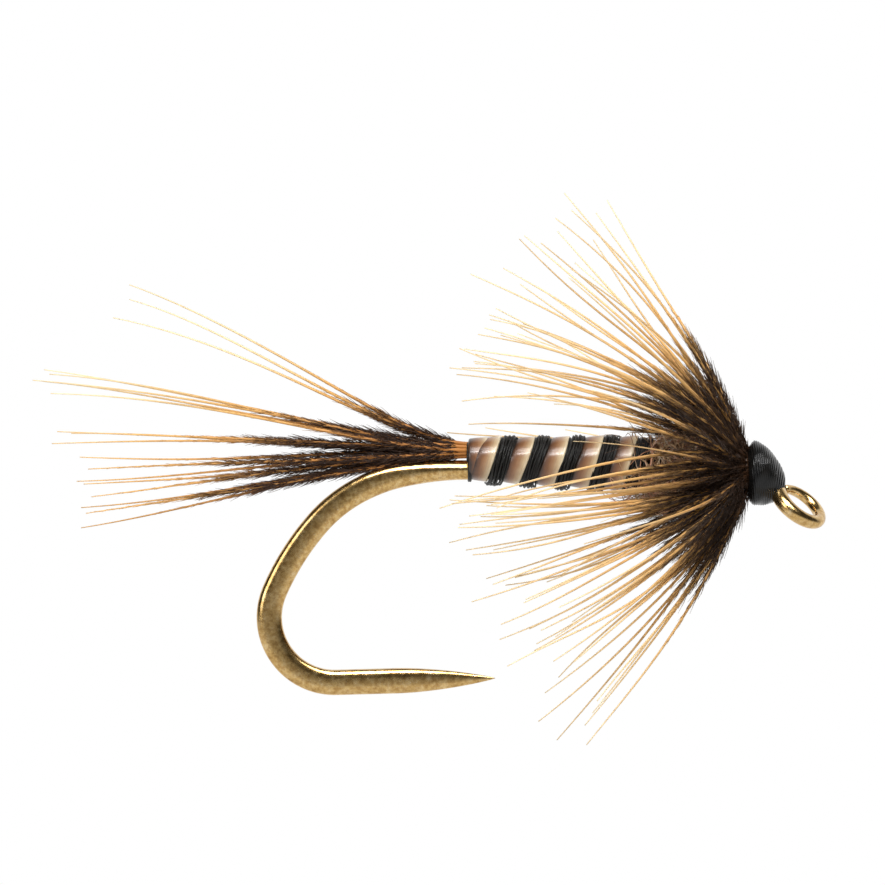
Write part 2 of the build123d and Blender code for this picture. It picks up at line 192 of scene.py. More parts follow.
def hook_centreline():
    """The wire's middle line from the point to the end in the eye, with its sizes at each station.
    The bend is the running sum of short steps whose heading turns evenly along each arc."""
    step = 0.04
    turn_steps = [np.full(max(1, round(r * math.radians(a) / step)), math.radians(a)) for r, a in bend_arcs]
    turns = np.concatenate([t / len(t) for t in turn_steps])
    lengths = np.concatenate([np.full(len(t), r * t[0] / len(t)) for (r, _), t in zip(bend_arcs, turn_steps)])
    heading = np.cumsum(turns) - turns / 2
    bend_x = bend_start - np.concatenate([[0], np.cumsum(lengths * np.cos(heading))])
    bend_z = shank_height - np.concatenate([[0], np.cumsum(lengths * np.sin(heading))])
    bend = np.stack([bend_x, 0 * bend_x, bend_z], 1)
    last = heading[-1] + turns[-1] / 2
    spear_dir = np.array([-math.cos(last), 0, -math.sin(last)])
    spear_at = np.concatenate([np.linspace(0, 1, 40)[1:] * (spear_length - 0.02), [spear_length]])
    spear = bend[-1] + spear_at[:, None] * spear_dir
    neck_at = -1.30
    shank = np.stack([np.linspace(bend_start, neck_at, 90)[1:], np.zeros(89), np.full(89, shank_height)], 1)
    reach = (eye_bore + eye_wire_root) / 2
    neck_end = -(reach + 0.36) * eye_ahead
    neck_controls = [
        (neck_at, 0, shank_height),
        (neck_at + 0.2, 0, shank_height),
        neck_end - 0.16 * eye_ahead,
        neck_end,
    ]
    neck = curve_through(neck_controls, 14)[1:]
    first, final = math.radians(228), math.radians(522)
    enter = eye_ahead * math.cos(first) + eye_across * math.sin(first)
    enter_dir = eye_across * math.cos(first) - eye_ahead * math.sin(first)
    lead = curve_through(
        [neck_end, neck_end + 0.26 * eye_ahead, enter * reach - 0.30 * enter_dir, enter * reach], 14
    )[1:]
    turn = np.linspace(first, final, 84)[1:]
    wire = np.interp(turn, (first, final), (eye_wire_root, eye_wire_end))
    ring_r = (eye_bore + wire) / 2
    ring = (eye_ahead * np.cos(turn)[:, None] + eye_across * np.sin(turn)[:, None]) * ring_r[:, None]
    line = np.concatenate([spear[::-1], bend[::-1], shank, neck, lead, ring])
    needle = np.clip((spear_at[::-1] - (spear_length - needle_length)) / needle_length, 0, 1)
    thin = (1 - needle**1.7) ** 0.9
    bend_share = np.linspace(0, 1, len(bend))[::-1]
    forged = np.clip(bend_share / 0.3, 0, 1)
    forged = forged * forged * (3 - 2 * forged)
    tail = len(shank) + 4
    taper = np.linspace(shank_dia, eye_wire_root, len(neck) + len(lead) - 4)
    tall = np.concatenate(
        [
            needle_tip + (forged_height - needle_tip) * thin,
            shank_dia + (forged_height - shank_dia) * forged,
            np.full(tail, shank_dia),
            taper,
            wire,
        ]
    )
    wide = np.concatenate(
        [
            needle_tip + (forged_width - needle_tip) * thin,
            shank_dia + (forged_width - shank_dia) * forged,
            np.full(tail, shank_dia),
            taper,
            wire,
        ]
    )
    flat = np.concatenate([np.clip(thin * 1.5, 0, 1), forged, np.zeros(tail + len(taper) + len(wire))])
    return line, tall, wide, flat


hook_line, hook_tall, hook_wide, hook_flat = hook_centreline()
hook_along = unit(np.gradient(hook_line, axis=0))
eye_stations, eye_blend = 96, 12
eye_part = np.arange(len(hook_line)) - len(hook_line) + eye_stations
eye_part = np.clip(eye_part / eye_blend, 0, 1)[:, None]
hook_ref = unit((1 - eye_part) * np.array([0, 1.0, 0]) - eye_part * eye_normal)
hook_side = unit(hook_ref - (hook_ref * hook_along).sum(1)[:, None] * hook_along)
hook_up = np.cross(hook_along, hook_side)
around = np.linspace(0, 2 * math.pi, 48, endpoint=False)[None]
# the outline is round on the round wire and a rounded square on the forged bend: the sine and cosine are
# raised to a power that falls from 1 to about 0.6
power = 2 / (2 + 1.2 * hook_flat)[:, None]
outline = np.stack(
    [
        hook_wide[:, None] / 2 * np.sign(np.cos(around)) * np.abs(np.cos(around)) ** power,
        hook_tall[:, None] / 2 * np.sign(np.sin(around)) * np.abs(np.sin(around)) ** power,
    ],
    -1,
)
hook_points, hook_faces = closed_tube(hook_line, hook_side, hook_up, outline)

bronze = Finish("bronze_lacquered_wire", Metallic=1.0, Coat_Weight=0.4, Coat_Roughness=0.1)
bronze_spots = bronze.noise(bronze.place(), 4.2, 5.0, 0.62)
bronze_draw = bronze.noise(bronze.place((0.6, 1, 0.6)), 16.0, 4.0, 0.6)
# fine noise: it raises the bronze's small bump and also picks out the painted glints below
bronze_glint_and_bump_noise = bronze.noise(bronze.place(), 46.0, 2.0, 0.5)
bronze_tint = bronze.ramp(
    bronze_spots,
    (0.30, (0.50, 0.30, 0.09)),
    (0.48, (0.70, 0.46, 0.17)),
    (0.62, (0.80, 0.57, 0.26)),
    (0.8, (0.88, 0.70, 0.42)),
)
bronze_drawn = bronze.ramp(bronze_draw, (0.34, (0.72, 0.64, 0.54)), (0.60, (1.04, 1.04, 1.04)))
bronze_base = bronze.blend(1.0, bronze_tint, bronze_drawn, "MULTIPLY")
# painted glints: where the fine noise is high, the metal's own colour is mixed toward near white to stand for
# sparkles of reflected light
bronze_painted_glints = bronze.ramp(bronze_glint_and_bump_noise, (0.70, (0, 0, 0)), (0.76, (1, 1, 1)))
bronze.colour(bronze.blend(bronze_painted_glints, bronze_base, (0.98, 0.94, 0.84)))
bronze.rough(bronze_spots, 0.12, 0.30)
bronze.bump(bronze_glint_and_bump_noise, 0.0016, 0.35)
shaped_piece("hook_wire", hook_points, hook_faces, bronze.material, ["hook"], "hook_wire")

# ---------------------------------------------------------------- quill abdomen
# The abdomen is a tapered bed of black tying thread with a stripped feather quill wound over it in five
# open turns, brown on one edge and cream on the other, and a rib of the same thread between the turns.
abdomen_rear, abdomen_length = -9.044, 4.67
rear_lift, front_lift = 0.305, 0.165
bed_rear_r, bed_front_r = 0.53, 0.705
body_pitch = abdomen_length / 5


def on_abdomen(along, angle, lift):
    """Points on the tapered abdomen: along from its rear, then out from its sloping centre line by the bed's
    radius plus lift, at an angle that is 0 on the near side and a quarter turn on top."""
    share = along / abdomen_length
    r = bed_rear_r + (bed_front_r - bed_rear_r) * share + lift
    centre = shank_height + rear_lift + (front_lift - rear_lift) * share
    return np.stack([abdomen_rear + along, -r * np.cos(angle), centre + r * np.sin(angle)], -1)


def wound_along(turns, start, slack=0.05):
    """How far along the abdomen a strand lies after so many turns: one pitch a turn, with a wave
    twice a turn that squares each turn up, as when it is pulled tight."""
    return start + body_pitch * (turns - slack * np.clip(turns, 0, 1) * np.sin(4 * math.pi * turns))


def woven_skin(u_count, v_count, first=0):
    """Quads of a grid of u rows and v columns, numbered from first, the columns joined round."""
    i = np.arange(u_count - 1)[:, None] * v_count
    j = np.arange(v_count)[None]
    k = (j + 1) % v_count
    return (first + np.stack([i + j, i + k, i + v_count + k, i + v_count + j], -1)).reshape(-1, 4)


thread = Finish("black_tying_thread", Roughness=0.4, Specular_IOR_Level=0.4)
thread_twist = thread.noise(thread.place((1, 0.35, 0.35)), 34.0, 6.0, 0.7)
thread_lint = thread.noise(thread.place(), 60.0, 3.0, 0.6)
thread.colour(
    thread.blend(
        thread.ramp(thread_lint, (0.64, (0, 0, 0)), (0.76, (1, 1, 1))),
        thread.ramp(thread_twist, (0.3, (0.002, 0.002, 0.002)), (0.7, (0.011, 0.010, 0.008))),
        (0.075, 0.065, 0.042),
    )
)
thread.rough(thread_twist, 0.24, 0.55)
thread.bump(thread_twist, 0.02, 0.9)

bed_u, bed_v = 160, 96
bed_along = np.linspace(0, abdomen_length, bed_u)[:, None]
bed_angle = np.linspace(0, 2 * math.pi, bed_v, endpoint=False)[None]
# the radius swells by half a wave across each thread, wound on a slight slope, and is a little lumpy
bed_pitch, bed_rise = 0.07, 0.012
bed_turns = bed_along / bed_pitch - bed_angle / (2 * math.pi)
bed_lumps = np.sin(5 * bed_angle + 9 * bed_along) * np.sin(3.3 * bed_along)
bed_lift = bed_rise * (np.abs(np.sin(math.pi * bed_turns)) + bed_lumps)
bed_points = on_abdomen(bed_along + 0 * bed_angle, bed_angle + 0 * bed_along, bed_lift).reshape(-1, 3)
bed_faces = woven_skin(bed_u, bed_v).tolist() + [
    list(range(bed_v))[::-1],
    list(range((bed_u - 1) * bed_v, bed_u * bed_v)),
]
shaped_piece(
    "abdomen_thread_bed", bed_points, bed_faces, thread.material, ["thread_underbody"], "black_thread"
)

quill_width = 0.56 * body_pitch
quill_start = quill_width / 2 - 0.115
quill_turns = np.linspace(-0.97, 4.80, 660)
# once across the strand: (place from the brown edge to the cream edge, height above the bed)
quill_edge = np.array(
    [
        (0.00, 0.000),
        (0.02, 0.026),
        (0.10, 0.040),
        (0.30, 0.055),
        (0.52, 0.066),
        (0.74, 0.074),
        (0.92, 0.082),
        (0.985, 0.078),
        (1.00, 0.060),
        (1.00, 0.010),
        (0.70, 0.000),
        (0.35, 0.000),
    ]
)
quill_mid = np.maximum(wound_along(quill_turns, quill_start), quill_width / 2 - 0.045)
quill_angle = 2 * math.pi * quill_turns - math.pi / 2
quill_swell = 1 + 0.05 * np.sin(2.1 * quill_angle + 1) + 0.03 * np.sin(0.7 * quill_angle)
quill_along = quill_mid[:, None] + (quill_edge[None, :, 0] - 0.5) * quill_width * quill_swell[:, None]
quill_press = 1 + 0.12 * np.sin(1.3 * quill_angle) - 0.26 * np.clip(0.2 - quill_turns, 0, 1.2)
quill_lift = quill_edge[None, :, 1] * quill_press[:, None]
quill_points = on_abdomen(quill_along, quill_angle[:, None] + 0 * quill_along, quill_lift)
quill_faces = woven_skin(len(quill_turns), len(quill_edge))[:, ::-1].tolist() + [
    list(range(len(quill_edge))),
    list(range((len(quill_turns) - 1) * len(quill_edge), len(quill_turns) * len(quill_edge)))[::-1],
]
quill = Finish("stripped_quill", Roughness=0.34, Specular_IOR_Level=0.4, Coat_Weight=0.7, Coat_Roughness=0.2)
quill_across = quill.mark("across")
quill_run = quill.mark("run")
quill_grain_at = quill.node(
    "ShaderNodeCombineXYZ", {"X": quill.math("MULTIPLY", quill_across, 14.0), "Y": quill_run}
).outputs[0]
quill_grain = quill.noise(quill_grain_at, 1.6, 4.0, 0.6)
quill_cloud = quill.noise(quill.place(), 2.2, 3.0, 0.5)
quill_drift = quill.math("MULTIPLY", quill.math("SUBTRACT", quill_cloud, 0.5), 0.34)
quill_shift = quill.math("ADD", quill_across, quill_drift)
quill_base = quill.ramp(
    quill_shift,
    (0.05, (0.028, 0.013, 0.007)),
    (0.20, (0.120, 0.050, 0.022)),
    (0.38, (0.22, 0.095, 0.038)),
    (0.60, (0.36, 0.205, 0.105)),
    (0.80, (0.54, 0.40, 0.24)),
    (1.0, (0.74, 0.64, 0.44)),
)
quill_streaks = quill.ramp(quill_grain, (0.3, (0.45, 0.36, 0.30)), (0.7, (1.15, 1.1, 1.0)))
quill.colour(quill.blend(0.35, quill_base, quill_streaks, "MULTIPLY"))
quill.rough(quill_grain, 0.22, 0.42)
quill.bump(quill_grain, 0.010, 0.7)
shaped_piece(
    "quill_strand",
    quill_points.reshape(-1, 3),
    quill_faces,
    quill.material,
    ["quill_body"],
    "stripped_quill",
    across=np.tile(quill_edge[:, 0], len(quill_turns)),
    run=np.repeat(quill_turns * 4.2, len(quill_edge)),
)

rib_strands = 13
rib_width = 0.42 * body_pitch
rib_turns = np.linspace(-0.02, 4.42, 460)
rib_sides = 6
rib_ring = np.linspace(0, 2 * math.pi, rib_sides, endpoint=False)
rib_points, rib_faces = [], []
for strand in range(rib_strands):
    place = (strand + 0.5) / rib_strands - 0.5
    slow, quick = np.sin(2.3 * math.pi * rib_turns + 2.1 * strand), np.sin(17 * rib_turns + 5 * strand)
    wander = (0.9 * slow + 0.5 * quick) / rib_strands
    mid = wound_along(rib_turns, quill_start) + 0.5 * body_pitch + (place + wander) * rib_width
    coarse, fine = np.sin(9 * rib_turns + strand), np.sin(41 * rib_turns + 2 * strand)
    strand_r = 0.026 * (1 + 0.20 * coarse + 0.14 * fine)
    height = 0.048 + 0.026 * np.sin(7.1 * rib_turns + 1.7 * strand) + 0.030 * (1 - (2 * place) ** 2)
    # the rib lies deeper on top and bulges underneath
    height = height + 0.055 * np.clip(np.cos(2 * math.pi * rib_turns), -0.15, 1)
    angle = 2 * math.pi * rib_turns - math.pi / 2
    along = mid[:, None] + strand_r[:, None] * np.cos(rib_ring)[None]
    lift = height[:, None] + strand_r[:, None] * np.sin(rib_ring)[None]
    rib_points.append(on_abdomen(along, angle[:, None] + 0 * along, lift).reshape(-1, 3))
    first = strand * len(rib_turns) * rib_sides
    ends = [
        list(range(first, first + rib_sides))[::-1],
        list(range(first + (len(rib_turns) - 1) * rib_sides, first + len(rib_turns) * rib_sides)),
    ]
    rib_faces += woven_skin(len(rib_turns), rib_sides, first).tolist() + ends
shaped_piece(
    "rib_thread_strands",
    np.concatenate(rib_points),
    rib_faces,
    thread.material,
    ["rib_thread"],
    "black_thread",
)

# ---------------------------------------------------------------- tail
# The tail is nineteen barbs stripped from a cock's feather and tied on top of the shank. Each barb is a thin
# flat amber shaft; the root end still carries dark down, and the tip is bare and pale.
golden = (math.sqrt(5) - 1) / 2
# each clump: barbs, angle above the shank line, spread of angle, length, lift of the middle
tail_clumps = (
    (3, 22.5, 8.4, 10.2, 0.10),
    (5, 9.0, 3.0, 11.9, 0.06),
    (3, 2.0, 2.2, 11.2, 0.03),
    (8, -5.6, 10.0, 10.7, -0.02),
)
tail_web_share = (0.34, 0.42, 0.54, 0.62)
tail_pack = 0.098
bundle_height = shank_height + shank_dia / 2 + 0.03 + 2.5 * tail_pack


def scatter(i, seed):
    """An even scatter between -1/2 and 1/2, from multiples of the golden ratio, shifted by seed."""
    return (np.asarray(i) * golden + golden + seed * 0.377) % 1 - 0.5


def many_fibres(paths, radii, sides, flat=1.0):
    """Many closed tapered fibres at once. paths is (fibres, stations, 3) and radii (fibres, stations).
    Each ring is a circle, or an oval flat times as thick, in the plane square to the path."""
    fibres, stations = paths.shape[:2]
    along = unit(np.gradient(paths, axis=1))
    whole = unit(paths[:, -1] - paths[:, 0])
    ref = np.where(np.abs(whole[:, 1:2]) < 0.8, np.array([[0, 1.0, 0]]), np.array([[0, 0, 1.0]]))[:, None]
    side = unit(np.cross(along, ref))
    up = np.cross(along, side)
    a = np.linspace(0, 2 * math.pi, sides, endpoint=False)
    ring = np.cos(a)[:, None] * side[:, :, None] + flat * np.sin(a)[:, None] * up[:, :, None]
    points = paths[:, :, None] + radii[:, :, None, None] * ring
    skin = woven_skin(stations, sides)
    caps = np.stack([np.arange(sides)[::-1], (stations - 1) * sides + np.arange(sides)])
    first = (np.arange(fibres) * stations * sides)[:, None, None]
    faces = (skin[None] + first).reshape(-1, 4).tolist() + (caps[None] + first).reshape(-1, sides).tolist()
    return points.reshape(-1, 3), faces


def feather_barb(path, root_r, tip_r, web, rng, stations, bare=0.0):
    """One barb with its barbules. The shaft follows the path. Barbules stand off both sides: long dark ones
    over the web share, lean amber ones pressed to the shaft beyond it, and none at the tip.
    web is (share of the length, barbule length, spacing, least lean, most lean) in mm and degrees."""
    share_dark, long, spacing, lean_low, lean_high = web
    steps = np.linspace(0, 1, stations)
    place = np.linspace(0, 1, len(path))
    line = np.stack([np.interp(steps, place, path[:, k]) for k in range(3)], 1)
    along = unit(np.gradient(line, axis=0))
    length = np.linalg.norm(np.diff(line, axis=0), axis=1).sum()
    radii = tip_r + (root_r - tip_r) * (1 - steps**1.4)
    shaft, shaft_faces = many_fibres(line[None], radii[None], 6, 0.62)
    dark_count = int(length * (share_dark * 1.05 - bare) / spacing)
    pale_count = int(length * 0.34 / (1.5 * spacing))
    share = np.concatenate(
        [
            bare + (share_dark * 1.05 - bare) * (np.arange(dark_count) + rng.random(dark_count)) / dark_count,
            share_dark + 0.34 * (np.arange(pale_count) + rng.random(pale_count)) / pale_count,
        ]
    )
    count = len(share)
    dark = 1 / (1 + np.exp(np.clip((share - share_dark + rng.normal(0, 0.03, count)) / 0.045, -30, 30)))
    fade = np.clip((share_dark + 0.40 - share) / 0.34, 0.15, 1)
    size = long * (0.45 + 0.8 * rng.random(count)) * (0.8 * fade + 0.2 * dark)
    size = size * np.clip((share - bare) * 8 + 0.55, 0, 1)
    base = np.stack([np.interp(share, steps, line[:, k]) for k in range(3)], 1)
    ahead = unit(np.stack([np.interp(share, steps, along[:, k]) for k in range(3)], 1))
    ref = np.array([0, 1.0, 0]) if abs(along[0, 1]) < 0.8 else np.array([0, 0, 1.0])
    side = unit(np.cross(ahead, ref))
    up = np.cross(ahead, side)
    roll = np.where(np.arange(count) % 2 == 0, 0, math.pi) + rng.normal(0, 0.8, count)
    out = np.cos(roll)[:, None] * side + np.sin(roll)[:, None] * up
    spread = (0.35 + 0.65 * dark) * (1 + 1.3 * np.exp(-share / 0.06))
    lean = np.radians(rng.uniform(lean_low, lean_high, count) * spread)[:, None]
    start = ahead * np.cos(lean) + out * np.sin(lean)
    curl = ahead * np.cos(lean * 0.5) + out * np.sin(lean * 0.5) + rng.normal(0, 0.06, (count, 3))
    size = size[:, None]
    hair = np.stack([base, base + start * size * 0.5, base + (start * 0.5 + curl * 0.5) * size], 1)
    hair_r = np.outer(0.0100 + 0.0030 * dark, (1.0, 0.85, 0.3))
    barbules, barbule_faces = many_fibres(hair, hair_r, 3)
    points = np.concatenate([shaft, barbules])
    offset = len(shaft)
    faces = shaft_faces + [[v + offset for v in face] for face in barbule_faces]
    run = np.concatenate([np.repeat(steps, 6), np.repeat(share, 9)])
    kind = np.concatenate([np.zeros(len(shaft)), np.repeat(0.30 + 0.70 * dark, 9)])
    return points, faces, run, kind


def feather_finish(name, dark, shaft_base, shaft_root, shaft_mid, shaft_tip, edge):
    """Feather: shafts run from their root colour to their tip colour, and barbules from the dark web colour
    to the shaft's own."""
    feather = Finish(name, Roughness=0.48, Specular_IOR_Level=0.32)
    run = feather.mark("run")
    tone = feather.mark("tone")
    kind = feather.mark("kind")
    streak = feather.noise(feather.place((0.4, 1, 1)), 6.0, 3.0, 0.6)
    shaft = feather.ramp(
        run,
        (0.07, shaft_base),
        (0.20, shaft_root),
        (edge * 0.7, shaft_root),
        (min(0.95, edge * 1.5), shaft_mid),
        (1.0, shaft_tip),
    )
    web = feather.ramp(
        kind, (0.0, (0, 0, 0)), (0.32, (0.10, 0.10, 0.10)), (0.60, (0.7, 0.7, 0.7)), (0.95, (1, 1, 1))
    )
    both = feather.blend(web, shaft, dark)
    lively = feather.math("ADD", feather.math("MULTIPLY", tone, 0.6), feather.math("MULTIPLY", streak, 0.5))
    shade = feather.ramp(
        lively, (0.15, (0.62, 0.52, 0.42)), (0.5, (1.0, 0.98, 0.96)), (0.95, (1.35, 1.4, 1.5))
    )
    feather.colour(feather.blend(1.0, both, shade, "MULTIPLY"))
    feather.bump(streak, 0.004, 0.5)
    return feather


def hexagon_places(rings, pitch):
    """Places of round fibres packed in a hexagon: the middle, then rings of 6, 12 and so on."""
    places = [(0.0, 0.0)]
    for ring in range(1, rings + 1):
        for side in range(6):
            for step in range(ring):
                a, b, s = math.radians(60 * side), math.radians(60 * side + 60), step / ring
                places.append(
                    (
                        ring * pitch * (math.cos(a) * (1 - s) + math.cos(b) * s),
                        ring * pitch * (math.sin(a) * (1 - s) + math.sin(b) * s),
                    )
                )
    return sorted(places, key=lambda place: -place[1])


tail_edge, tail_steps = 0.45, 50
tail_finish = feather_finish(
    "tail_feather",
    dark=(0.042, 0.018, 0.008),
    shaft_base=(0.44, 0.17, 0.035),
    shaft_root=(0.50, 0.20, 0.045),
    shaft_mid=(0.70, 0.40, 0.13),
    shaft_tip=(0.90, 0.70, 0.40),
    edge=tail_edge,
)
tail_places = hexagon_places(2, tail_pack)
number = 0
for clump, (count, angle, spread, length, lift) in enumerate(tail_clumps):
    for i in range(count):
        side, height = tail_places[number]
        up = math.radians(angle - spread * ((i + 0.5) / count - 0.5))
        out = math.radians(14.0 * scatter(number, clump))
        reach = length * (1 + 0.06 * scatter(number, 3))
        root = np.array([abdomen_rear, side, bundle_height + height])
        ahead = np.array([-math.cos(up) * math.cos(out), math.cos(up) * math.sin(out), math.sin(up)])
        sag = np.array([0, 0, lift * length])
        controls = (
            root,
            root + np.array([-0.2 * reach, 0, 0]),
            root + ahead * 0.62 * reach + sag / 2,
            root + ahead * reach,
        )
        path = curve_through(controls, tail_steps)
        wave = np.linspace(0, 1, tail_steps)
        path[:, 2] += 0.08 * wave * np.sin(5.5 * wave + 2.4 * number)
        path[:, 1] += 0.10 * wave * np.sin(4.5 * wave + 1.3 * number)
        path = np.concatenate([root + np.array([[0.5, 0, 0], [0.25, 0, 0]]), path])
        rng = np.random.default_rng(400 + number)
        web_share = tail_web_share[clump] * (0.85 + 0.3 * rng.random())
        points, faces, run, kind = feather_barb(
            path, 0.056, 0.013, (web_share, 0.50, 0.012, 9, 30), rng, bare=0.08, stations=56
        )
        shaped_piece(
            f"tail_barb_{number + 1:02d}_feather",
            points,
            faces,
            tail_finish.material,
            [f"tail_barb_{number + 1:02d}"],
            "tail_feather",
            run=run * tail_edge / tail_web_share[clump],
            kind=kind,
            tone=np.full(len(points), 0.15 + 0.75 * rng.random()),
        )
        number += 1

# ---------------------------------------------------------------- tail tie
# The tail is held by a few tight turns of the same black thread round the barbs and the shank, most of them
# out of sight under the first turn of quill.
tie_rear = -9.115
tie_r, tie_narrow, tie_pitch, tie_turns = 0.52, 0.86, 0.04, 2
tie_angle = np.linspace(0, 2 * math.pi * tie_turns, 60 * tie_turns)
tie_centre_z = shank_height + 0.22
tie_line = np.stack(
    [
        tie_rear + tie_pitch * tie_angle / (2 * math.pi),
        -tie_narrow * tie_r * np.cos(tie_angle),
        tie_centre_z + tie_r * np.sin(tie_angle),
    ],
    1,
)
tie_radius = 0.034 * (1 + 0.1 * np.sin(2.3 * tie_angle))
tie_points, tie_faces = many_fibres(tie_line[None], tie_radius[None], 8)
shaped_piece("tail_tie_thread", tie_points, tie_faces, thread.material, ["tail_tie_turns"], "black_thread")

# ---------------------------------------------------------------- dubbed thorax
# The thorax is hare's fur spun on waxed thread and wound as a short lumpy barrel. Its crossed, looped
# underfur is tan, grey and a little rust over the dark core, and longer guard hairs stick out of it.
thorax_rear, thorax_front = -4.354, -1.854
thorax_height, thorax_width = 1.52, 1.44
thorax_centre_z = 0.93
thorax_length = thorax_front - thorax_rear


def on_thorax(share, angle, lift):
    """Points on the thorax: an upright oval that swells to full size over the first 40% of the length and
    draws in by a third over the last 45%, with lift added all round."""
    swell = (0.80 + 0.20 * np.sin(math.pi / 2 * np.clip(share / 0.4, 0, 1))) * (
        1 - 0.36 * np.clip((share - 0.55) / 0.45, 0, None) ** 1.5
    )
    y = (thorax_width / 2 * swell + lift) * np.sin(angle)
    z = (thorax_height / 2 * swell + lift) * np.cos(angle)
    return np.stack([thorax_rear + thorax_length * share + 0 * y, y, thorax_centre_z + z], -1)


fur = Finish("dubbed_fur", Roughness=0.7, Specular_IOR_Level=0.3)
fur_tone = fur.mark("tone")
fur_patch = fur.noise(fur.place(), 3.5, 4.0, 0.6)
fur.colour(
    fur.blend(
        0.6,
        fur.ramp(
            fur_tone,
            (0.0, (0.012, 0.007, 0.004)),
            (0.12, (0.06, 0.032, 0.018)),
            (0.30, (0.34, 0.20, 0.10)),
            (0.55, (0.56, 0.40, 0.24)),
            (0.78, (0.58, 0.27, 0.17)),
            (1.0, (0.78, 0.67, 0.52)),
        ),
        fur.ramp(fur_patch, (0.3, (0.62, 0.52, 0.44)), (0.7, (1.35, 1.3, 1.2))),
        "MULTIPLY",
    )
)
fur.bump(fur.noise(fur.place(), 26.0, 4.0, 0.6), 0.03, 0.8)
core_u, core_v = 60, 72
core_share = np.linspace(0, 1, core_u)[:, None]
core_angle = np.linspace(0, 2 * math.pi, core_v, endpoint=False)[None]
core_lift = -0.10 + 0.035 * np.sin(21 * core_share + 3 * core_angle)
core_lift = core_lift + 0.025 * np.sin(5 * core_angle - 11 * core_share)
core_points = on_thorax(core_share + 0 * core_angle, core_angle + 0 * core_share, core_lift).reshape(-1, 3)
core_faces = woven_skin(core_u, core_v)[:, ::-1].tolist() + [
    list(range(core_v)),
    list(range((core_u - 1) * core_v, core_u * core_v))[::-1],
]
fur_count, fur_front = 1100, 0.97


def looped_fur(count, rng, long, lift, slack, radius):
    """Curled hairs lying on the thorax. Each starts at a random place, runs off at a random heading over the
    surface, and bows outward by a half wave of its length with a random curl on top."""
    stations = 9
    step = np.linspace(0, 1, stations)[None]
    share = rng.uniform(-0.03, 1.0, (count, 1))
    angle = rng.uniform(0, 2 * math.pi, (count, 1))
    heading = rng.uniform(0, 2 * math.pi, (count, 1)) + rng.normal(0, 1.3, (count, 1)) * step
    size = long * rng.uniform(0.5, 1.3, (count, 1)) / stations
    # a hair that would run out of the front turns back there
    share_at = fur_front - np.abs(fur_front - share - np.cumsum(size * np.cos(heading), 1) / thorax_length)
    angle_at = angle + np.cumsum(size * np.sin(heading), 1) / (thorax_width / 2)
    bow = lift + slack * rng.random((count, 1)) * np.sin(math.pi * step * rng.uniform(0.6, 1.15, (count, 1)))
    paths = on_thorax(share_at, angle_at, bow)
    radii = radius * rng.uniform(0.7, 1.2, (count, 1)) * (1 - 0.6 * step**3)
    points, faces = many_fibres(paths, radii, 3)
    return points, faces, stations * 3


fur_rng = np.random.default_rng(70)
fur_points, fur_faces, per_hair = looped_fur(fur_count, fur_rng, 1.35, -0.05, 0.56, 0.0155)
fur_hair_tone = np.repeat(0.2 + 0.8 * fur_rng.random(fur_count), per_hair)
shaped_piece(
    "thorax_fur",
    np.concatenate([core_points, fur_points]),
    core_faces + [[v + len(core_points) for v in face] for face in fur_faces],
    fur.material,
    ["thorax_dubbing"],
    "dubbed_fur",
    tone=np.concatenate([np.full(len(core_points), 0.03), fur_hair_tone]),
)

guard = Finish("guard_hair", Roughness=0.45, Specular_IOR_Level=0.4)
guard_tone = guard.mark("tone")
guard_band = guard.noise(guard.place(), 1.3, 2.0)
guard.colour(
    guard.blend(
        0.5,
        guard.ramp(
            guard_tone, (0.0, (0.16, 0.09, 0.05)), (0.5, (0.42, 0.30, 0.19)), (1.0, (0.66, 0.58, 0.46))
        ),
        guard.ramp(guard_band, (0.35, (0.4, 0.34, 0.3)), (0.65, (1.2, 1.15, 1.05))),
        "MULTIPLY",
    )
)
guard_count, guard_stations = 84, 12
guard_rng = np.random.default_rng(71)
guard_step = np.linspace(0, 1, guard_stations)[None]
guard_share = guard_rng.uniform(0.02, 0.98, (guard_count, 1))
guard_angle = guard_rng.uniform(0, 2 * math.pi, (guard_count, 1))
guard_root = on_thorax(guard_share[:, 0], guard_angle[:, 0], -0.1)[:, None]
guard_out = on_thorax(guard_share[:, 0], guard_angle[:, 0], 0.9)[:, None] - guard_root
guard_back = np.array([-1.0, 0, 0]) + guard_rng.normal(0, 0.55, (guard_count, 1, 3))
guard_long = guard_rng.uniform(0.55, 1.55, (guard_count, 1, 1))
guard_bend = guard_rng.uniform(0.2, 1.1, (guard_count, 1, 1))
guard_t = guard_step[..., None]
guard_paths = guard_root + guard_long * (
    guard_out * (0.5 * guard_t) + guard_back * (0.25 * guard_t + 0.5 * guard_bend * guard_t**2)
)
guard_phase = guard_rng.uniform(0, 6, (guard_count, 1, 3))
guard_paths = guard_paths + 0.11 * np.sin(5 * guard_t + guard_phase) * guard_t
guard_radii = 0.016 * (1 - 0.75 * guard_step**2) * guard_rng.uniform(0.7, 1.2, (guard_count, 1))
guard_points, guard_faces = many_fibres(guard_paths, guard_radii, 4)
shaped_piece(
    "thorax_guard_hair_strands",
    guard_points,
    guard_faces,
    guard.material,
    ["thorax_guard_hairs"],
    "guard_hair",
    tone=np.repeat(guard_rng.random(guard_count), guard_stations * 4),
)

# ---------------------------------------------------------------- feather collar
# The collar is a cock hackle wound three turns behind the head. Its barbs splay out and back all round,
# parted more above and below, and its dark web at the stem hides the thread under it.
collar_turns, barbs_per_turn = 3, 34
stem_dia, stem_pitch = 0.12, 0.128
head_rear, dressing_gap = -1.31, 0.02
collar_front = head_rear - dressing_gap - stem_dia / 2
collar_base_r = 0.45
stem_coil_r = collar_base_r + 0.008 + stem_dia / 2


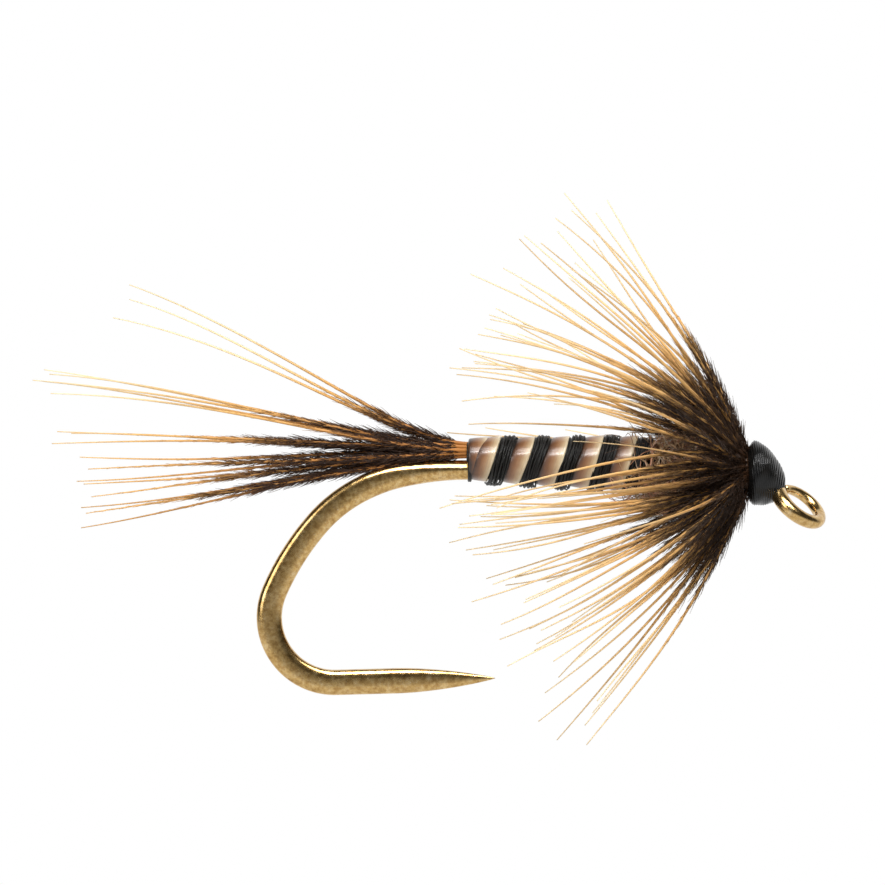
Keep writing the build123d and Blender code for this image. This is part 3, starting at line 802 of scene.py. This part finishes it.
def collar_controls():
    """Control points of every collar barb, (barbs, 4, 3): a root on the stem, then points at 26, 64 and 100%
    of the barb's length, along lines that lean from the shank by the sweep and all, a third and none of
    the lift."""
    number = np.arange(collar_turns * barbs_per_turn)
    turn, place = number // barbs_per_turn, number % barbs_per_turn
    even = 2 * math.pi * (place + 0.5 * (turn % 2) + 0.3 * scatter(number, 2)) / barbs_per_turn
    angle = even - 0.22 * np.sin(2 * even)
    sweep = 13.0 + 48.0 * (scatter(number * 5 + turn, 4) + 0.5)
    off = angle - math.pi
    least = math.radians(100) * np.clip(1 - sweep / 55, 0, None)
    parted = math.pi + np.where(off > 0, np.maximum(off, least), np.minimum(off, -least))
    angle = np.where(np.cos(angle) < 0, parted, angle)
    long = 8.0 * (1 + 0.14 * scatter(number, 5))
    radial = np.stack([0 * angle, np.sin(angle), np.cos(angle)], 1)
    root = radial * (stem_coil_r + stem_dia / 2 - 0.01)
    root[:, 0] = collar_front - stem_pitch * (turn + even / (2 * math.pi))
    root[:, 2] += shank_height
    lift = np.maximum(14.0, 42.0 - sweep)

    def reach(share, extra):
        lean = np.radians(sweep + extra)[:, None]
        return root + (radial * np.sin(lean) - np.array([1.0, 0, 0]) * np.cos(lean)) * (share * long)[:, None]

    return np.stack([root, reach(0.26, lift), reach(0.64, lift / 3), reach(1.0, 0)], 1)


collar_finish = feather_finish(
    "collar_feather",
    dark=(0.038, 0.018, 0.008),
    shaft_base=(0.050, 0.022, 0.009),
    shaft_root=(0.42, 0.215, 0.060),
    shaft_mid=(0.76, 0.45, 0.16),
    shaft_tip=(0.92, 0.72, 0.42),
    edge=0.36,
)
collar_steps = 46
collar_paths = curve_through(collar_controls(), collar_steps)
body_middle, body_clear = 1.18, 0.95
for number, path in enumerate(collar_paths):
    rng = np.random.default_rng(900 + number)
    wave = np.linspace(0, 1, collar_steps)
    bow = rng.normal(0, 0.13, (1, 3))
    bow = bow * (np.sin(math.pi * wave * 1.6 + rng.random() * 3) * wave)[:, None]
    drift = rng.normal(0, 0.32, (1, 3)) * (wave**2.5)[:, None]
    path = path + bow + drift
    # barbs on the near side that would lie along the body hang clear below it
    low = body_middle - body_clear - path[-1, 2]
    if path[-1, 1] < 0 and -2.6 < low < 0 and path[-1, 0] < -6.5:
        path[:, 2] += (low - 0.5 * rng.random()) * wave**1.3
    web_share = 0.26 + 0.16 * rng.random()
    points, faces, run, kind = feather_barb(
        path, 0.050, 0.014, (web_share, 0.62, 0.013, 6, 24), rng, stations=40
    )
    half = "upper" if collar_paths[number][-1, 2] > collar_paths[number][0, 2] else "lower"
    shaped_piece(
        f"collar_barb_{number + 1:03d}",
        points,
        faces,
        collar_finish.material,
        [f"collar_barbs_turn_{number // barbs_per_turn + 1}_{half}"],
        "collar_feather",
        run=run,
        kind=kind,
        tone=np.full(len(points), 0.1 + 0.85 * rng.random()),
    )

stem_angle = np.linspace(0, 2 * math.pi * collar_turns, 96 * collar_turns)
stem_line = np.stack(
    [
        collar_front - stem_pitch * stem_angle / (2 * math.pi),
        stem_coil_r * np.sin(stem_angle),
        shank_height + stem_coil_r * np.cos(stem_angle),
    ],
    1,
)
stem_points, stem_faces = many_fibres(stem_line[None], np.full((1, len(stem_line)), stem_dia / 2), 10, 0.8)
shaped_piece(
    "collar_feather_stem",
    stem_points,
    stem_faces,
    collar_finish.material,
    ["collar_stem"],
    "collar_feather",
    run=np.full(len(stem_points), 0.04),
    kind=np.full(len(stem_points), 0.1),
    tone=np.full(len(stem_points), 0.4),
)


def wound_drum(start, end, radius, centre_z, pitch, thread_rise, tilt, around):
    """A drum of wound thread: its radius is swollen by half waves, one to a pitch, whose phase shifts by one
    turn in going round and by tilt across the drum, so that the turns lie aslant."""
    rows = int((end - start) / pitch * 8)
    share = np.linspace(0, 1, rows)[:, None]
    angle = np.linspace(0, 2 * math.pi, around, endpoint=False)[None]
    x = start + (end - start) * share
    phase = (x + tilt * np.cos(angle)) / pitch - angle / (2 * math.pi)
    r = radius(share) + thread_rise * (np.abs(np.sin(math.pi * phase)) - 0.6)
    r = r + 0.010 * np.sin(3 * angle + 9 * x) + 0.006 * np.sin(7 * angle - 17 * x)
    r = np.maximum(r, 0.01)
    points = np.stack([x + 0 * angle, r * np.sin(angle), centre_z(x) + r * np.cos(angle)], -1)
    faces = woven_skin(rows, around)[:, ::-1].tolist()
    faces += [list(range(around)), list(range((rows - 1) * around, rows * around))[::-1]]
    return points.reshape(-1, 3), faces


base_rear, base_front = -1.834, -1.325
base_points, base_faces = wound_drum(
    base_rear,
    base_front,
    lambda share: collar_base_r + 0 * share,
    lambda x: shank_height + 0 * x,
    pitch=0.06,
    thread_rise=0.014,
    tilt=0.0,
    around=64,
)
shaped_piece(
    "collar_thread_base_turns",
    base_points,
    base_faces,
    thread.material,
    ["collar_thread_base"],
    "black_thread",
)

# ---------------------------------------------------------------- head
# The head is black thread built up into a blunt cone behind the eye, closed with a whip finish at its front,
# and varnished, so that the slanting turns show through a wet-looking coat.
lacquer = Finish(
    "lacquered_head", Roughness=0.3, Specular_IOR_Level=0.16, Coat_Weight=0.3, Coat_Roughness=0.08
)
lacquer_twist = lacquer.noise(lacquer.place((1, 0.3, 0.3)), 40.0, 5.0, 0.7)
lacquer_pool = lacquer.noise(lacquer.place(), 4.0, 3.0, 0.5)
lacquer.colour(
    lacquer.blend(
        lacquer.ramp(lacquer_pool, (0.4, (0, 0, 0)), (0.7, (1, 1, 1))),
        lacquer.ramp(lacquer_twist, (0.3, (0.002, 0.002, 0.002)), (0.7, (0.010, 0.010, 0.010))),
        (0.008, 0.007, 0.006),
    )
)
lacquer.rough(lacquer_pool, 0.16, 0.36)
lacquer.bump(lacquer_twist, 0.006, 0.6)
head_front, whip_rear, head_shoulder, head_back = -0.40, -0.70, -1.24, -1.43


def head_radius(x):
    """The head's outline: a blunt bullet, 0.22 mm at the eye and 0.89 mm at a rounded rear shoulder."""
    share = np.clip((x - head_rear) / (head_front - head_rear), 0, 1)
    nose = 0.22 + 0.67 * (1 - share**2) ** 0.8
    return nose * (1 - 0.24 * np.clip((head_shoulder - x) / (head_shoulder - head_back), 0, 1) ** 1.8)


def head_middle(x):
    """Height of the head's middle line, which droops toward the eye as the square of the way along."""
    share = np.clip((x - head_rear) / (head_front - head_rear), 0, 1)
    return 0.87 - 0.32 * share**2


head_points, head_faces = wound_drum(
    head_back,
    whip_rear,
    lambda share: head_radius(head_back + share * (whip_rear - head_back)),
    head_middle,
    pitch=0.062,
    thread_rise=0.018,
    tilt=0.11,
    around=128,
)
shaped_piece(
    "head_thread_turns", head_points, head_faces, lacquer.material, ["head_thread"], "lacquered_head"
)
whip_points, whip_faces = wound_drum(
    whip_rear - 0.01,
    head_front - 0.012,
    lambda share: head_radius(whip_rear - 0.01 + share * (head_front - whip_rear)) - 0.006,
    head_middle,
    pitch=0.058,
    thread_rise=0.026,
    tilt=-0.06,
    around=112,
)
shaped_piece(
    "whip_finish_turns", whip_points, whip_faces, lacquer.material, ["head_whip_finish"], "lacquered_head"
)

# ---------------------------------------------------------------- studio
# A white floor and a white backdrop, which only the camera sees. What the fly itself sees is a studio with a
# white sweep behind, a pale table below, a dark ceiling, and three softboxes above and in front.
floor_half, floor_height = 0.5, -0.06
floor_mesh = bpy.data.meshes.new("studio_floor")
floor_corners = [(-1, -1), (1, -1), (1, 1), (-1, 1)]
floor_points = [(floor_half * x, floor_half * y, floor_height) for x, y in floor_corners]
floor_mesh.from_pydata(floor_points, [], [(0, 1, 2, 3)])
floor_paint = Finish("pale_floor", Roughness=1.0, Specular_IOR_Level=0.0, Emission_Strength=1.0)
floor_grain = floor_paint.noise(floor_paint.place(), 0.02, 2.0)
floor_shade = floor_paint.ramp(floor_grain, (0.3, (0.985, 0.985, 0.985)), (0.7, (1, 1, 1)))
floor_paint.tree.links.new(floor_shade, floor_paint.shader.inputs["Emission Color"])
floor_paint.shader.inputs["Base Color"].default_value = (0, 0, 0, 1)
floor_mesh.materials.append(floor_paint.material)
floor = bpy.data.objects.new("studio_floor", floor_mesh)
floor.visible_diffuse = floor.visible_glossy = floor.visible_shadow = False
bpy.context.scene.collection.objects.link(floor)

studio = bpy.data.worlds.new("studio")
studio.use_nodes = True
sky = studio.node_tree
backdrop_light = 0.95
table_light, ceiling_light = 0.80, 0.04


def sky_node(kind, links=None, sockets=None, **settings):
    """Add a node to the studio surroundings and link its inputs."""
    made = sky.nodes.new(kind)
    for key, value in settings.items():
        setattr(made, key, value)
    for key, value in (sockets or {}).items():
        made.inputs[key].default_value = value
    for key, output in (links or {}).items():
        sky.links.new(output, made.inputs[key])
    return made


direction = sky_node("ShaderNodeSeparateXYZ", {0: sky_node("ShaderNodeTexCoord").outputs["Generated"]})
behind = sky_node(
    "ShaderNodeMapRange",
    {"Value": direction.outputs["Y"]},
    {"From Min": 0.15, "From Max": 0.55, "To Min": 0.0, "To Max": backdrop_light},
    interpolation_type="SMOOTHSTEP",
)
below = sky_node(
    "ShaderNodeMapRange",
    {"Value": direction.outputs["Z"]},
    {"From Min": -0.28, "From Max": 0.14, "To Min": table_light, "To Max": ceiling_light},
    interpolation_type="SMOOTHSTEP",
)
surround = sky_node("ShaderNodeMath", {0: behind.outputs[0], 1: below.outputs[0]}, operation="MAXIMUM")
seen = sky_node("ShaderNodeLightPath").outputs["Is Camera Ray"]
level = sky_node("ShaderNodeMix", {0: seen, 2: surround.outputs[0]}, {3: 1.0})
sky.links.new(level.outputs[0], sky.nodes["Background"].inputs["Strength"])
sky.nodes["Background"].inputs["Color"].default_value = (1, 1, 1, 1)
bpy.context.scene.world = studio
bpy.context.scene.view_settings.view_transform = "Standard"


def softbox(name, place_mm, aim_mm, size_mm, watts):
    """A rectangular soft light aimed at a point on the fly."""
    lamp = bpy.data.lights.new(name, "AREA")
    lamp.shape = "RECTANGLE"
    lamp.size, lamp.size_y = size_mm[0] * MM, size_mm[1] * MM
    lamp.energy = watts
    held = bpy.data.objects.new(name, lamp)
    place = np.array(place_mm) * MM
    away = unit(place - np.array(aim_mm) * MM)
    across = unit(np.cross((0, 0, 1.0), away))
    upward = np.cross(away, across)
    rows = [[*row, spot] for row, spot in zip(np.stack([across, upward, away], 1), place)]
    held.matrix_world = Matrix(rows + [[0, 0, 0, 1]])
    bpy.context.scene.collection.objects.link(held)


fly_middle = (-9, 0, 0)
softbox("key_softbox", (20, -135, 190), fly_middle, (170, 110), 0.50)
softbox("strip_softbox", (-30, -170, 140), fly_middle, (70, 26), 0.16)
softbox("side_softbox", (-150, -180, 60), fly_middle, (100, 100), 0.10)

camera_data = bpy.data.cameras.new("camera")
camera_data.sensor_width = 36
camera_away, view_width = 200, 24.276
camera_data.lens = camera_data.sensor_width * camera_away / view_width
camera_data.clip_start = 0.005
camera_data.clip_end = 20
camera = bpy.data.objects.new("camera", camera_data)
camera.location = (-9.806 * MM, -camera_away * MM, 1.714 * MM)
camera.rotation_euler = (math.pi / 2, 0, 0)
bpy.context.scene.collection.objects.link(camera)
bpy.context.scene.camera = camera
